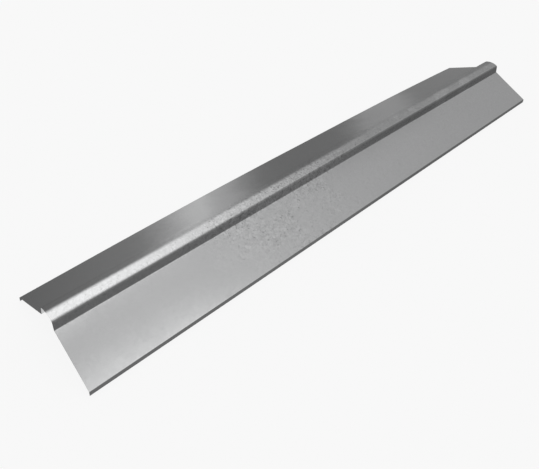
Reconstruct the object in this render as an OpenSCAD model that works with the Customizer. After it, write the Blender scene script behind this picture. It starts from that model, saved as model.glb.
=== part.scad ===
// Figured ridge cap, folded from one strip of zinc-coated steel sheet.
// The section is drawn across Y and up Z, and runs along X.
// Origin: middle of the length, on the centre line, at the level of the
// two lips' lower edges, which the cap stands on.

/* [Sheet] */
// Length of the cap along the ridge
cap_length = 2000; // [300:10:3000]
// Thickness of the sheet
sheet_t = 0.5; // [0.4:0.05:0.8]

/* [Wings] */
// Width of each wing down its slope, from the rib to the lip
wing_w = 155; // [80:1:250]
// Slope of each wing below the horizontal, in degrees
wing_angle = 26; // [15:0.5:40]

/* [Rib] */
// Width of the raised rib where it leaves the wings, outside
rib_w = 60; // [50:1:90]
// Height of the rib's straight sides, from the wing to the shoulder
rib_side_h = 26; // [16:0.5:40]
// Inward lean of the rib's sides, in degrees
rib_lean = 8; // [0:1:12]
// Slope of the rounded crown where it reaches the shoulder, in degrees
crown_slope = 24; // [15:1:50]
// Bend radius at the shoulder, at mid thickness
shoulder_r = 8; // [2:0.5:12]
// Bend radius at the root of the rib, at mid thickness
root_r = 3; // [2:0.5:5]

/* [Lip] */
// Height of the upright lip along the outer edge of each wing
lip_h = 12.5; // [8:0.5:20]
// Bend radius between the wing and its lip, at mid thickness
lip_r = 2; // [1:0.25:4]

/* [Hidden] */
h = sheet_t / 2;
// slope of the rib's side below the horizontal
side_a = 90 - rib_lean;
// lengths that the bends take off the straights, measured on the outside face
root_cut = (root_r - h) * tan((side_a - wing_angle) / 2);
shoulder_cut = (shoulder_r + h) * tan((side_a - crown_slope) / 2);
side_l = rib_side_h / sin(side_a) - root_cut - shoulder_cut;
lip_cut = (lip_r + h) * tan((90 - wing_angle) / 2);
wing_l = wing_w - root_cut - lip_cut;
lip_l = lip_h - lip_cut;
// half width taken up between the end of the crown and the root of the rib
below_crown = shoulder_r * (sin(side_a) - sin(crown_slope))
    + (side_l + root_cut) * cos(side_a) + h * sin(side_a);
// radius of the crown at mid thickness, so that the rib has its stated width
crown_r = (rib_w / 2 - below_crown) / sin(crown_slope);
// Half the strip, from the middle of the crown to the lip's free edge.
// Each fold is a straight run, then a turn in degrees, the radius of that turn
// at mid thickness, and its number of flats. A positive turn goes down, and a
// negative one lifts the strip again.
folds = [
    [0, crown_slope, crown_r, 16],
    [0, side_a - crown_slope, shoulder_r, 14],
    [side_l, wing_angle - side_a, root_r, 12],
    [wing_l, 90 - wing_angle, lip_r, 12],
    [lip_l, 0, 0, 0]
];
// height of the crown's top at mid thickness, with the lips' lower edges at zero
crown_z = crown_r * (1 - cos(crown_slope))
    + shoulder_r * (cos(crown_slope) - cos(side_a))
    + side_l * sin(side_a)
    + root_r * (cos(wing_angle) - cos(side_a))
    + wing_l * sin(wing_angle)
    + lip_r * cos(wing_angle) + lip_l;

// position across, height and slope of the strip's mid line where fold i starts
function start(i) = i == 0 ? [0, crown_z, 0] :
    let (s = start(i - 1), f = folds[i - 1], a = s[2], b = a + f[1],
         r = sign(f[1]) * f[2])
    [s[0] + f[0] * cos(a) + r * (sin(b) - sin(a)),
     s[1] - f[0] * sin(a) + r * (cos(b) - cos(a)), b];

// points of one face of the half strip: side 1 is the top, side -1 the underside
function face(side) = [
    for (i = [0 : len(folds) - 1])
        let (s = start(i), f = folds[i], a = s[2], r = sign(f[1]) * f[2],
             x = s[0] + f[0] * cos(a), y = s[1] - f[0] * sin(a))
        for (k = [(i > 0 && f[0] == 0 ? 1 : 0) : f[3]])
            let (b = a + (f[3] > 0 ? f[1] * k / f[3] : 0))
            [x + r * (sin(b) - sin(a)) + side * h * sin(b),
             y + r * (cos(b) - cos(a)) + side * h * cos(b)]
];

function backwards(p) = [for (i = [len(p) - 1 : -1 : 0]) p[i]];
// the other half of the strip, without the point on the centre line
function opposite(p) = [for (i = [1 : len(p) - 1]) [-p[i][0], p[i][1]]];

// the folded section, symmetrical about the ridge line
module section() {
    top = face(1);
    under = face(-1);
    polygon(concat(top, backwards(under), opposite(under), backwards(opposite(top))));
}

module ridge_cap() {
    color("silver")
        translate([-cap_length / 2, 0, 0])
            rotate([90, 0, 90])
                linear_extrude(height = cap_length) section();
}

ridge_cap();
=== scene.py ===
import math

import bpy
import numpy as np
from mathutils import Matrix


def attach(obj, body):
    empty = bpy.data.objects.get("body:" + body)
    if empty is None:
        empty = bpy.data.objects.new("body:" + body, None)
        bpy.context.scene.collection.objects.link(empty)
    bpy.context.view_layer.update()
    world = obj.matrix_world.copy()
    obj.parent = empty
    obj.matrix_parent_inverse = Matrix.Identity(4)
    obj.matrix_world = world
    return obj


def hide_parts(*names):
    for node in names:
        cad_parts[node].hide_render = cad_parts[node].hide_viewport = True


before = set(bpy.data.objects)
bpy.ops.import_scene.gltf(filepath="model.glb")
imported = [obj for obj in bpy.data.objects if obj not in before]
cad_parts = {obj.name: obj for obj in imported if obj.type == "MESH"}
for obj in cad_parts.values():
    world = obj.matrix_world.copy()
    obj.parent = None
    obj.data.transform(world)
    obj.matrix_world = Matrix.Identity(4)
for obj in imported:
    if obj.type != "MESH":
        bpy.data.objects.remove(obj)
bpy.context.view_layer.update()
scene = bpy.context.scene


def sin(a):
    return np.sin(np.radians(a))


def cos(a):
    return np.cos(np.radians(a))


# ---------------------------------------------------------------- the camera
# Fitted to the corners and edges of the photograph. The shift is what its framing needs.

def rotation(yaw, pitch, roll):
    """Camera axes for a heading from +X towards +Y, a pitch below the horizon and a roll, in degrees."""
    ahead = np.array((cos(yaw) * cos(pitch), sin(yaw) * cos(pitch), -sin(pitch)))
    right = np.cross(ahead, (0, 0, 1))
    right /= np.linalg.norm(right)
    down = np.cross(ahead, right)
    r = cos(roll) * right + sin(roll) * down
    d = -sin(roll) * right + cos(roll) * down
    return Matrix([(r[i], -d[i], -ahead[i]) for i in range(3)])


def make_camera():
    data = bpy.data.cameras.new("camera")
    data.sensor_width = 36
    data.lens = 592.292 / 539 * 36
    data.shift_x = (269.5 - 228) / 539
    data.shift_y = (130 - 234.5) / 539
    data.clip_start, data.clip_end = 0.02, 200
    cam = bpy.data.objects.new("camera", data)
    cam.matrix_world = Matrix.Translation((-1.30234, -0.90596, 1.19512)) @ rotation(47.3691, 33.4046, -2.2118).to_4x4()
    scene.collection.objects.link(cam)
    scene.camera = cam


# ---------------------------------------------------------------- node helpers

class Nodes:
    """A node tree that is written as sums and products."""

    def __init__(self, tree):
        self.tree = tree
        tree.nodes.clear()

    def add(self, kind, inputs=None, **settings):
        n = self.tree.nodes.new(kind)
        for k, v in settings.items():
            setattr(n, k, v)
        for k, v in (inputs or {}).items():
            self.put(n.inputs[k], v)
        return n

    def put(self, socket, value):
        if isinstance(value, bpy.types.NodeSocket):
            self.tree.links.new(value, socket)
        else:
            socket.default_value = value

    def math(self, op, *args, clamp=False):
        n = self.tree.nodes.new("ShaderNodeMath")
        n.operation, n.use_clamp = op, clamp
        for s, v in zip(n.inputs, args):
            self.put(s, v)
        return n.outputs[0]

    def vec(self, op, *args, scale=None):
        n = self.tree.nodes.new("ShaderNodeVectorMath")
        n.operation = op
        for s, v in zip(n.inputs, args):
            self.put(s, v)
        if scale is not None:
            self.put(n.inputs["Scale"], scale)
        return n.outputs["Value" if op in ("DOT_PRODUCT", "LENGTH") else "Vector"]

    def plus(self, *terms):
        out = terms[0]
        for t in terms[1:]:
            out = self.math("ADD", out, t)
        return out

    def times(self, *terms):
        out = terms[0]
        for t in terms[1:]:
            out = self.math("MULTIPLY", out, t)
        return out

    def ramp(self, v, a, b, lo=0.0, hi=1.0):
        """From lo at a to hi at b, with a smooth start and end."""
        n = self.add("ShaderNodeMapRange", interpolation_type="SMOOTHSTEP")
        for k, x in (("Value", v), ("From Min", a), ("From Max", b), ("To Min", lo), ("To Max", hi)):
            self.put(n.inputs[k], x)
        return n.outputs["Result"]

    def glow(self, v, middle, width):
        """A bell of height 1 at middle."""
        d = self.math("DIVIDE", self.math("SUBTRACT", v, middle), width)
        return self.math("EXPONENT", self.times(d, d, -0.5))

    def window(self, v, a, b, soft):
        """1 from a to b, falling smoothly to 0 over soft outside each end."""
        return self.times(self.ramp(v, a - soft, a), self.ramp(v, b, b + soft, 1.0, 0.0))


# ---------------------------------------------------------------- floor and light

BACKGROUND = 0.9387


def make_floor():
    verts = [(0, 0, -0.0004)]
    rings = [1.6, 3.5, 8, 16, 30, 60]
    n = 72
    for r in rings:
        verts += [(r * math.cos(2 * math.pi * k / n), r * math.sin(2 * math.pi * k / n), -0.0004) for k in range(n)]
    faces = [(0, 1 + k, 1 + (k + 1) % n) for k in range(n)]
    for i in range(len(rings) - 1):
        a, b = 1 + i * n, 1 + (i + 1) * n
        faces += [(a + k, b + k, b + (k + 1) % n, a + (k + 1) % n) for k in range(n)]
    me = bpy.data.meshes.new("floor")
    me.from_pydata(verts, [], faces)
    me.update()
    floor = bpy.data.objects.new("floor", me)
    scene.collection.objects.link(floor)
    m = bpy.data.materials.new("floor_white")
    m.use_nodes = True
    t = Nodes(m.node_tree)
    # a table that is lit from below as well, so that shadows on it stay faint
    paper = t.add("ShaderNodeBsdfDiffuse", {"Color": (0.80, 0.80, 0.80, 1), "Roughness": 0.0})
    lit = t.add("ShaderNodeEmission", {"Color": (BACKGROUND,) * 3 + (1,), "Strength": 1.0})
    mix = t.add("ShaderNodeMixShader", {0: 0.95, 1: paper.outputs[0], 2: lit.outputs[0]})
    out = t.add("ShaderNodeOutputMaterial")
    t.tree.links.new(mix.outputs[0], out.inputs["Surface"])
    me.materials.append(m)
    # dark flags at floor level keep the pale floor out of the metal, as on a studio table
    floor.visible_glossy = False
    # only the paper right under the cap shows in it, on the inner faces that are seen at its ends
    under = bpy.data.meshes.new("paper_under_cap")
    under.from_pydata([(-0.99, -0.15, -0.0003), (0.99, -0.15, -0.0003), (0.99, 0.15, -0.0003), (-0.99, 0.15, -0.0003)], [], [(0, 1, 2, 3)])
    under.update()
    under.materials.append(m)
    sheet = bpy.data.objects.new("paper_under_cap", under)
    scene.collection.objects.link(sheet)
    sheet.visible_camera = sheet.visible_diffuse = sheet.visible_shadow = False


def make_world():
    """The studio that the metal mirrors: a dim room with a long overhead softbox, a weaker one in
    front of it and two tall openings behind. u goes round the ridge line, -90 level at the back,
    0 overhead and 90 level in front, and v is the angle along the ridge, from the middle."""
    w = bpy.data.worlds.new("studio")
    scene.world = w
    w.use_nodes = True
    w.cycles.sampling_method = "NONE"
    t = Nodes(w.node_tree)
    d = t.add("ShaderNodeSeparateXYZ", {0: t.add("ShaderNodeTexCoord").outputs["Generated"]}).outputs
    deg = 180 / math.pi
    u = t.times(t.math("ARCTAN2", t.times(d[1], -1.0), d[2]), deg)
    v = t.times(t.math("ARCSINE", t.math("ABSOLUTE", d[0])), deg)
    behind = t.ramp(u, -53.1, -28.4, 1.0, 0.0)
    overhead = t.times(t.ramp(u, -53.1, -28.4), t.ramp(u, 11.2, 13.2, 1.0, 0.0))
    front = t.times(t.ramp(u, 11.2, 13.2), t.ramp(u, 23.1, 27.1, 1.0, 0.0))
    rise = t.ramp(v, 20.6, 29.0)
    light = t.plus(
        0.251,
        # behind: two tall openings, the nearer one brighter and stepped, and the wall between and past them
        t.times(behind, rise, t.ramp(v, 29.0, 29.8, 1.0, 0.0), 0.234),
        t.times(behind, rise, t.ramp(v, 31.0, 35.8, 1.0, 0.0), 0.255),
        t.times(behind, t.window(v, 46.4, 50.1, 1.5), 0.153),
        t.times(behind, t.window(v, 34.0, 43.0, 3.0), -0.047),
        t.times(behind, t.ramp(v, 8.0, 22.0, -0.072, 0.0)),
        t.times(behind, t.ramp(v, 50.0, 56.0), 0.028),
        # the overhead softbox fades towards its ends
        t.times(overhead, t.ramp(v, 14.9, 45.8, 1.146, 0.154)),
        # the front softbox
        t.times(front, t.ramp(v, 25.6, 75.0, 0.366, 0.19)),
        # a lamp in front of the near end, soft-edged
        t.times(t.glow(u, 25.0, 3.3), t.glow(v, 19.4, 8.1), 1.36),
        # the pale wall in front, the room at eye level and what lies below it
        t.times(t.window(u, 32.2, 61.0, 8.3), t.ramp(v, 18.0, 46.0, 0.364, -0.007)),
        t.times(t.window(u, 88.0, 110.0, 8.0), t.ramp(v, 40.0, 50.0, -0.004, -0.085)),
        t.times(t.ramp(u, 112.0, 120.0), t.ramp(v, 37.4, 47.4, -0.046, -0.093)),
        t.times(t.ramp(u, 136.0, 144.0), 0.014),
        # and the dark at floor level at the back
        t.times(t.ramp(u, -110.0, -97.0, -0.16, 0.0)),
    )
    path = t.add("ShaderNodeLightPath").outputs
    glossy = t.add("ShaderNodeCombineColor", {0: light, 1: light, 2: light}).outputs[0]
    white = t.add("ShaderNodeMix", {"Factor": path["Is Diffuse Ray"]}, data_type="RGBA", blend_type="MIX")
    t.put(white.inputs["A"], glossy)
    white.inputs["B"].default_value = (BACKGROUND / 0.80,) * 3 + (1,)
    shown = t.add("ShaderNodeMix", {"Factor": path["Is Camera Ray"]}, data_type="RGBA", blend_type="MIX")
    t.put(shown.inputs["A"], [o for o in white.outputs if o.type == "RGBA"][0])
    shown.inputs["B"].default_value = (BACKGROUND,) * 3 + (1,)
    bg = t.add("ShaderNodeBackground", {"Color": [o for o in shown.outputs if o.type == "RGBA"][0], "Strength": 1.0})
    out = t.add("ShaderNodeOutputWorld")
    t.tree.links.new(bg.outputs[0], out.inputs["Surface"])


# ---------------------------------------------------------------- the sheet
# The section of part.scad, in millimetres: straights and bends of the strip's mid line, from the
# middle of the crown to the lip's free edge.

LENGTH, SHEET, WING, SLOPE = 2000.0, 0.5, 155.0, 26.0
RIB_W, SIDE_H, LEAN, CROWN = 60.0, 26.0, 8.0, 24.0
SHOULDER_R, ROOT_R, LIP_R, LIP_H = 8.0, 3.0, 2.0, 12.5
H = SHEET / 2
SIDE_A = 90 - LEAN


def tan(a):
    return np.tan(np.radians(a))


ROOT_CUT = (ROOT_R - H) * tan((SIDE_A - SLOPE) / 2)
SIDE_L = SIDE_H / sin(SIDE_A) - ROOT_CUT - (SHOULDER_R + H) * tan((SIDE_A - CROWN) / 2)
LIP_CUT = (LIP_R + H) * tan((90 - SLOPE) / 2)
WING_L = WING - ROOT_CUT - LIP_CUT
LIP_L = LIP_H - LIP_CUT
CROWN_R = (RIB_W / 2 - SHOULDER_R * (sin(SIDE_A) - sin(CROWN)) - (SIDE_L + ROOT_CUT) * cos(SIDE_A)
           - H * sin(SIDE_A)) / sin(CROWN)
CROWN_Z = (CROWN_R * (1 - cos(CROWN)) + SHOULDER_R * (cos(CROWN) - cos(SIDE_A)) + SIDE_L * sin(SIDE_A)
           + ROOT_R * (cos(SLOPE) - cos(SIDE_A)) + WING_L * sin(SLOPE) + LIP_R * cos(SLOPE) + LIP_L)


def spread(length, n, guard=(0.35, 1.2)):
    """Places along a straight, with two close to each end that keep the bends' shading off it."""
    inner = np.linspace(guard[1], length - guard[1], n)
    return [guard[0], *inner, length - guard[0]]


def half_section(slope=SLOPE):
    """Stations of half the strip as rows (y, z, heading below the horizontal, zone, place in zone),
    for a wing that lies at slope. The lip turns with its wing."""
    rows = []
    y, z, a = 0.0, CROWN_Z, 0.0

    def straight(length, zone, n):
        nonlocal y, z
        for p in spread(length, n) if n else []:
            rows.append((y + p * cos(a), z - p * sin(a), a, zone, p / length))
        y, z = y + length * cos(a), z - length * sin(a)

    def bend(turn, r, n, zone, first):
        nonlocal y, z, a
        s = math.copysign(r, turn)
        for k in range(0 if first else 1, n + 1):
            b = a + turn * k / n
            rows.append((y + s * (sin(b) - sin(a)), z + s * (cos(b) - cos(a)), b, zone, k / n))
        b = a + turn
        y, z, a = y + s * (sin(b) - sin(a)), z + s * (cos(b) - cos(a)), b

    bend(CROWN, CROWN_R, 14, 0, True)
    bend(SIDE_A - CROWN, SHOULDER_R, 12, 1, False)
    straight(SIDE_L, 2, 3)
    bend(slope - SIDE_A, ROOT_R, 10, 3, True)
    straight(WING_L, 4, 24)
    bend(90 - SLOPE, LIP_R, 10, 5, True)
    straight(LIP_L, 6, 3)
    rows.append((y, z, a, 6, 1.0))
    return np.array(rows)


def smooth(x, a, b):
    t = np.clip((x - a) / (b - a), 0, 1)
    return t * t * (3 - 2 * t)


def waves(x, parts):
    """A sum of slow waves along the strip: rows of (length mm, height, phase)."""
    return sum(h * np.sin(2 * np.pi * (x / l + p)) for l, h, p in parts)


def make_sheet():
    near = np.arange(-1000, -150, 7.5)
    rest = np.linspace(-150, 1000, 110)
    xs = np.unique(np.concatenate([near, rest]).round(4))
    ends = (xs[0] + np.array((0.4, 1.6)), xs[-1] - np.array((0.4, 1.6)))
    xs = np.unique(np.concatenate([xs, *ends]))
    base = half_section()
    ns = len(base)
    rings = []
    for x in xs:
        along = x / 1000
        bow = 1 - along ** 2
        halves = []
        for side in (-1, 1):
            # thin wings flex: the back one is held up along its middle and at the far end
            lift = 5.0 * bow + 1.9 * smooth(along, 0.0, 1.0) if side > 0 else 0.33 * bow
            h = half_section(SLOPE - lift)
            zone, place = h[:, 3], h[:, 4]
            n = np.stack([sin(h[:, 2]), cos(h[:, 2])], 1)
            # oil-canning of the wing, and the same shift carried on by the lip
            t = np.where(zone == 4, place, np.where(zone > 4, 1.0, 0.0))
            if side < 0:
                swell = np.sin(np.pi * np.clip(t, 0, 1)) * waves(x, ((1310, 0.55, 0.12), (590, 0.20, 0.4), (270, 0.07, 0.8)))
                edge = t ** 2 * waves(x, ((900, 0.22, 0.3), (380, 0.08, 0.1)))
            else:
                swell = np.sin(np.pi * np.clip(t, 0, 1)) * waves(x, ((1150, 0.60, 0.62), (510, 0.25, 0.2), (240, 0.09, 0.5)))
                edge = t ** 2 * waves(x, ((820, 0.25, 0.7), (330, 0.08, 0.45)))
            wing_n = np.array([sin(SLOPE - lift), cos(SLOPE - lift)])
            d = swell + edge
            h[:, 0] += d * wing_n[0]
            h[:, 1] += d * wing_n[1]
            halves.append((h, n))
        (f, fn), (b, bn) = halves
        mid = np.concatenate([f[::-1, :2] * (-1, 1), b[1:, :2]])
        nor = np.concatenate([fn[::-1] * (-1, 1), bn[1:]])
        rings.append((mid + H * nor, mid - H * nor))
    nst = 2 * ns - 1
    pts = np.empty((len(xs), 2 * nst, 3))
    for i, (x, (top, under)) in enumerate(zip(xs, rings)):
        pts[i, :, 0] = x
        pts[i, :nst, 1:] = top
        pts[i, nst:, 1:] = under[::-1]
    low = pts[:, :, 2].min()
    pts[:, :, 2] -= min(low, 0)
    pts = pts / 1000
    m = 2 * nst
    verts = pts.reshape(-1, 3)
    faces, mats = [], []
    for i in range(len(xs) - 1):
        for k in range(m):
            k2 = (k + 1) % m
            faces.append((i * m + k, (i + 1) * m + k, (i + 1) * m + k2, i * m + k2))
            mats.append(1 if k in (nst - 1, m - 1) else 0)
    last = (len(xs) - 1) * m
    for k in range(nst - 1):
        a, b, c, d = k, k + 1, m - 2 - k, m - 1 - k
        faces.append((a, b, c, d))
        mats.append(1)
        faces.append((last + a, last + d, last + c, last + b))
        mats.append(1)
    me = bpy.data.meshes.new("ridge_cap_sheet")
    me.from_pydata([tuple(v) for v in verts], [], faces)
    me.polygons.foreach_set("material_index", mats)
    me.polygons.foreach_set("use_smooth", [True] * len(faces))
    me.update()
    me.set_sharp_from_angle(angle=math.radians(35))
    obj = bpy.data.objects.new("ridge_cap_sheet", me)
    scene.collection.objects.link(obj)
    return obj


# ---------------------------------------------------------------- materials

def zinc():
    m = bpy.data.materials.new("zinc_coated_steel")
    m.use_nodes = True
    t = Nodes(m.node_tree)
    place = t.add("ShaderNodeTexCoord").outputs["Object"]

    def noise(scale, detail, rough=0.5, stretch=None, out="Fac"):
        at = place
        if stretch:
            at = t.vec("MULTIPLY", place, stretch)
        return t.add("ShaderNodeTexNoise", {"Vector": at, "Scale": scale, "Detail": detail, "Roughness": rough}).outputs[out]

    # zinc crystals: two sizes of cell with wandering borders, each with its own lean and tone.
    # They grew plainest on the rib up to its middle and on the front wing before its middle.
    wander = t.vec("SCALE", t.vec("SUBTRACT", noise(160, 2, out="Color"), (0.5, 0.5, 0.5)), scale=0.010)
    at = t.vec("ADD", place, wander)
    big = t.add("ShaderNodeTexVoronoi", {"Vector": at, "Scale": 105.0, "Randomness": 1.0}, feature="F1").outputs["Color"]
    small = t.add("ShaderNodeTexVoronoi", {"Vector": at, "Scale": 210.0, "Randomness": 1.0}, feature="F1").outputs["Color"]
    tone = t.math("SUBTRACT", t.add("ShaderNodeSeparateColor", {0: big}).outputs[0], 0.5)
    tone2 = t.math("SUBTRACT", t.add("ShaderNodeSeparateColor", {0: small}).outputs[1], 0.5)
    cloud = noise(9, 3)
    film = noise(2.2, 2)
    rolled = noise(60, 3, stretch=(0.06, 1.0, 1.0))
    fine = noise(1400, 3)
    patch = noise(5.5, 2)
    xyz = t.add("ShaderNodeSeparateXYZ", {0: place}).outputs
    along = t.plus(xyz[0], t.times(t.math("SUBTRACT", patch, 0.5), 0.45), t.times(t.math("SUBTRACT", noise(24, 2), 0.5), 0.30))
    rib = t.times(t.ramp(xyz[1], -0.036, -0.030), t.ramp(xyz[1], 0.000, 0.010, 1.0, 0.35), t.ramp(xyz[1], 0.024, 0.030, 1.0, 0.0))
    on_rib = t.times(rib, t.plus(0.26, t.times(t.ramp(along, -0.66, -0.40), t.ramp(along, -0.12, 0.10, 0.60, 0.05))))
    cluster = t.ramp(noise(13, 2), 0.43, 0.57, 0.45, 1.10)
    front = t.times(cluster, t.ramp(xyz[1], -0.036, -0.030, 1.0, 0.0), t.ramp(along, -0.62, -0.34), t.ramp(along, -0.22, -0.02, 0.62, 0.06))
    grown = t.plus(0.04, on_rib, front)
    mixed = t.vec("ADD", t.vec("SUBTRACT", big, (0.5, 0.5, 0.5)),
                  t.vec("SCALE", t.vec("SUBTRACT", small, (0.5, 0.5, 0.5)), scale=0.6))

    # dull specks between the crystals
    specks = t.plus(t.times(t.ramp(noise(330, 2), 0.60, 0.72), -0.08), t.times(t.ramp(noise(130, 1), 0.62, 0.70), -0.22))
    # painted highlight: a few brighter patches on the far half of the rib, light streaks put into the zinc's colour
    crown_painted_highlight = t.times(rib, t.ramp(xyz[0], 0.15, 0.35), t.ramp(noise(11, 2), 0.52, 0.62), 0.08)
    # the zinc's colour, with the painted highlight on the far half of the rib added to it
    value = t.plus(0.600, crown_painted_highlight, t.times(grown, t.plus(t.times(tone, 0.16), t.times(tone2, 0.18), specks)), t.times(t.math("SUBTRACT", cloud, 0.5), 0.02))
    colour = t.add("ShaderNodeCombineColor", {0: t.times(value, 0.995), 1: value, 2: t.times(value, 1.006)}).outputs[0]
    rough = t.plus(0.115, t.times(grown, 0.04), t.times(cloud, 0.02), t.times(film, 0.02), t.times(rolled, 0.01))

    height = t.plus(t.times(fine, 0.35), t.times(rolled, 0.5))
    bump = t.add("ShaderNodeBump", {"Strength": 0.25, "Distance": 0.00005, "Height": height}).outputs["Normal"]
    lean = t.math("ADD", 0.004, t.times(grown, 0.024))
    # the back wing's mirror image wavers a little
    waver = t.vec("SCALE", t.vec("SUBTRACT", noise(20, 2, out="Color"), (0.5, 0.5, 0.5)), scale=t.ramp(xyz[1], 0.034, 0.050, 0.0, 0.022))
    normal = t.vec("NORMALIZE", t.vec("ADD", t.vec("ADD", bump, t.vec("SCALE", mixed, scale=lean)), waver))
    bsdf = t.add("ShaderNodeBsdfPrincipled", {"Base Color": colour, "Roughness": rough, "Normal": normal})
    bsdf.inputs["Metallic"].default_value = 1.0
    out = t.add("ShaderNodeOutputMaterial")
    t.tree.links.new(bsdf.outputs[0], out.inputs["Surface"])
    return m


def cut_edge():
    m = bpy.data.materials.new("sheared_edge")
    m.use_nodes = True
    t = Nodes(m.node_tree)
    place = t.add("ShaderNodeTexCoord").outputs["Object"]
    shear = t.add("ShaderNodeTexNoise", {"Vector": t.vec("MULTIPLY", place, (1.0, 1.0, 0.15)), "Scale": 900.0, "Detail": 3.0}).outputs["Fac"]
    value = t.plus(0.44, t.times(shear, 0.16))
    colour = t.add("ShaderNodeCombineColor", {0: value, 1: value, 2: t.times(value, 1.01)}).outputs[0]
    bump = t.add("ShaderNodeBump", {"Strength": 0.5, "Distance": 0.00005, "Height": shear}).outputs["Normal"]
    bsdf = t.add("ShaderNodeBsdfPrincipled", {"Base Color": colour, "Roughness": t.plus(0.38, t.times(shear, 0.15)), "Normal": bump})
    bsdf.inputs["Metallic"].default_value = 1.0
    out = t.add("ShaderNodeOutputMaterial")
    t.tree.links.new(bsdf.outputs[0], out.inputs["Surface"])
    return m


# ---------------------------------------------------------------- the scene

scene.view_settings.view_transform = "Standard"
scene.view_settings.look = "None"
make_camera()
make_floor()
make_world()
cap = make_sheet()
cap.data.materials.append(zinc())
cap.data.materials.append(cut_edge())
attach(cap, "root")
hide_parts("ridge_cap")

bpy.context.view_layer.update()
